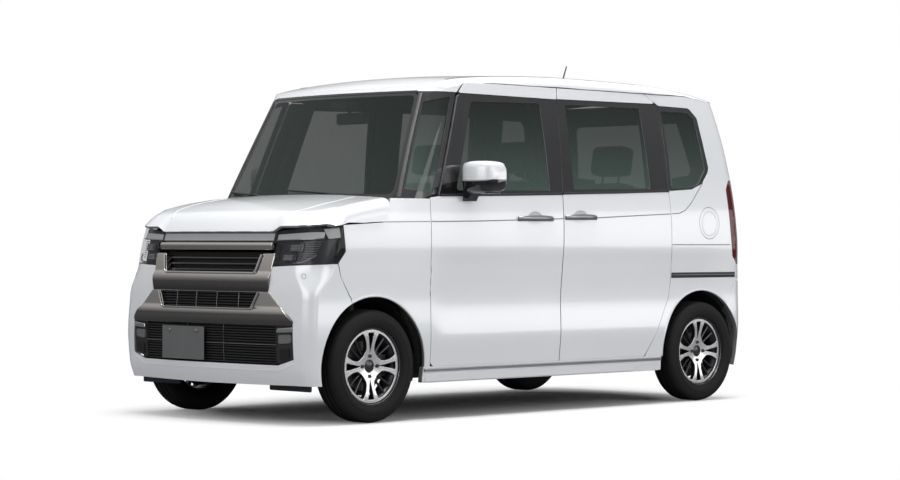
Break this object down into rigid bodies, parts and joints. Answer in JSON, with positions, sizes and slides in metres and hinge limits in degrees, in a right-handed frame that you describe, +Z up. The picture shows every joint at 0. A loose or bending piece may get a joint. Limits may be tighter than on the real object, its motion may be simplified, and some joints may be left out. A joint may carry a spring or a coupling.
{
  "type": "kei car",
  "caption": "Tall-bodied kei car with hinged front doors, sliding rear doors, a top-hinged tailgate, steered front wheels and a hollow cabin.",
  "frame": {"origin": "on the ground, under the centre of the body's box", "axes": "+Z up; -Y forward, along the car; +X the car's left side"},
  "size_m": [1.86, 3.3937, 1.8989],
  "materials": {
    "body_paint": "white pearl paint",
    "under_paint": "body primer",
    "black_trim": "black plastic",
    "gunmetal": "dark chrome garnish",
    "lamp": "clear lamp lens",
    "red_lamp": "red lamp lens",
    "glass": "dark tinted glass",
    "clear_glass": "windscreen glass",
    "tyre": "rubber",
    "alloy": "machined alloy",
    "steel": "black steel",
    "fabric": "seat cloth",
    "interior": "cabin plastic",
    "plate": "blank plate"
  },
  "bodies": {
    "body": {"aerial": "black_trim", "body_frame": "under_paint", "cowl_panel": "black_trim", "dashboard": "interior", "engine_block": "steel", "fixed_side_glass": "glass", "floor_pan": "under_paint", "front_bumper": "body_paint", "front_fenders": "body_paint", "front_frame": "under_paint", "front_garnish": "gunmetal", "front_grille": "black_trim", "front_seats": "fabric", "front_suspension": "steel", "headlamps": "lamp", "hinge_pins": "steel", "light_bar": "lamp", "plate_front": "plate", "quarter_panels": "body_paint", "rear_axle": "steel", "rear_bumper": "body_paint", "rear_seats": "fabric", "roof_panel": "body_paint", "side_skirts": "body_paint", "sliding_doors": "body_paint", "steering_column": "steel", "tail_lamps": "red_lamp", "wheel_arch_liners": "black_trim", "windscreen": "clear_glass", "windscreen_frame": "under_paint"},
    "door_left": {"door_left": "body_paint", "door_left_glass": "glass", "mirror_left": "body_paint"},
    "door_right": {"door_right": "body_paint", "door_right_glass": "glass", "mirror_right": "body_paint"},
    "tailgate": {"tailgate": "body_paint", "tailgate_glass": "glass"},
    "bonnet": {"bonnet": "body_paint"},
    "fuel_lid": {"fuel_lid": "body_paint"},
    "steering_wheel": {"steering_wheel": "interior"},
    "knuckle_left": {"knuckle_left": "steel"},
    "knuckle_right": {"knuckle_right": "steel"},
    "wheel_front_left": {"tyre_front_left": "tyre", "rim_front_left": "alloy"},
    "wheel_front_right": {"tyre_front_right": "tyre", "rim_front_right": "alloy"},
    "wheel_rear_left": {"tyre_rear_left": "tyre", "rim_rear_left": "alloy"},
    "wheel_rear_right": {"tyre_rear_right": "tyre", "rim_rear_right": "alloy"}
  },
  "joints": [
    {"name": "door_left_hinge", "type": "hinge", "parent": "body", "child": "door_left", "pos_m": [0.7265, -0.818, 0.675], "axis": [0, 0, 1], "range_deg": [-68, 0]},
    {"name": "door_right_hinge", "type": "hinge", "parent": "body", "child": "door_right", "pos_m": [-0.7265, -0.818, 0.675], "axis": [0, 0, 1], "range_deg": [0, 68]},
    {"name": "tailgate_hinge", "type": "hinge", "parent": "body", "child": "tailgate", "pos_m": [0, 1.272, 1.754], "axis": [1, 0, 0], "range_deg": [0, 80]},
    {"name": "bonnet_hinge", "type": "hinge", "parent": "body", "child": "bonnet", "pos_m": [0, -1.116, 1.106], "axis": [1, 0, 0], "range_deg": [-50, 0]},
    {"name": "fuel_lid_hinge", "type": "hinge", "parent": "body", "child": "fuel_lid", "pos_m": [0.7252, 1.294, 0.997], "axis": [0, 0, 1], "range_deg": [-85, 0]},
    {"name": "steering_wheel_turn", "type": "hinge", "parent": "body", "child": "steering_wheel", "pos_m": [-0.33, -0.48, 0.96], "axis": [0, 0.9063, 0.4226], "range_deg": [-525, 525]},
    {"name": "steer_left", "type": "hinge", "parent": "body", "child": "knuckle_left", "pos_m": [0.545, -1.21, 0.2785], "axis": [0, 0, 1], "range_deg": [-35.1, 35.1]},
    {"name": "steer_right", "type": "hinge", "parent": "body", "child": "knuckle_right", "pos_m": [-0.545, -1.21, 0.2785], "axis": [0, 0, 1], "range_deg": [-35.1, 35.1]},
    {"name": "wheel_front_left_spin", "type": "hinge", "parent": "knuckle_left", "child": "wheel_front_left", "pos_m": [0.6525, -1.21, 0.2785], "axis": [1, 0, 0], "continuous": true},
    {"name": "wheel_front_right_spin", "type": "hinge", "parent": "knuckle_right", "child": "wheel_front_right", "pos_m": [-0.6525, -1.21, 0.2785], "axis": [1, 0, 0], "continuous": true},
    {"name": "wheel_rear_left_spin", "type": "hinge", "parent": "body", "child": "wheel_rear_left", "pos_m": [0.6525, 1.31, 0.2785], "axis": [1, 0, 0], "continuous": true},
    {"name": "wheel_rear_right_spin", "type": "hinge", "parent": "body", "child": "wheel_rear_right", "pos_m": [-0.6525, 1.31, 0.2785], "axis": [1, 0, 0], "continuous": true}
  ],
  "couplings": [
    {"joint": "steer_left", "follows": "steering_wheel_turn", "ratio": 0.066667},
    {"joint": "steer_right", "follows": "steering_wheel_turn", "ratio": 0.066667}
  ]
}
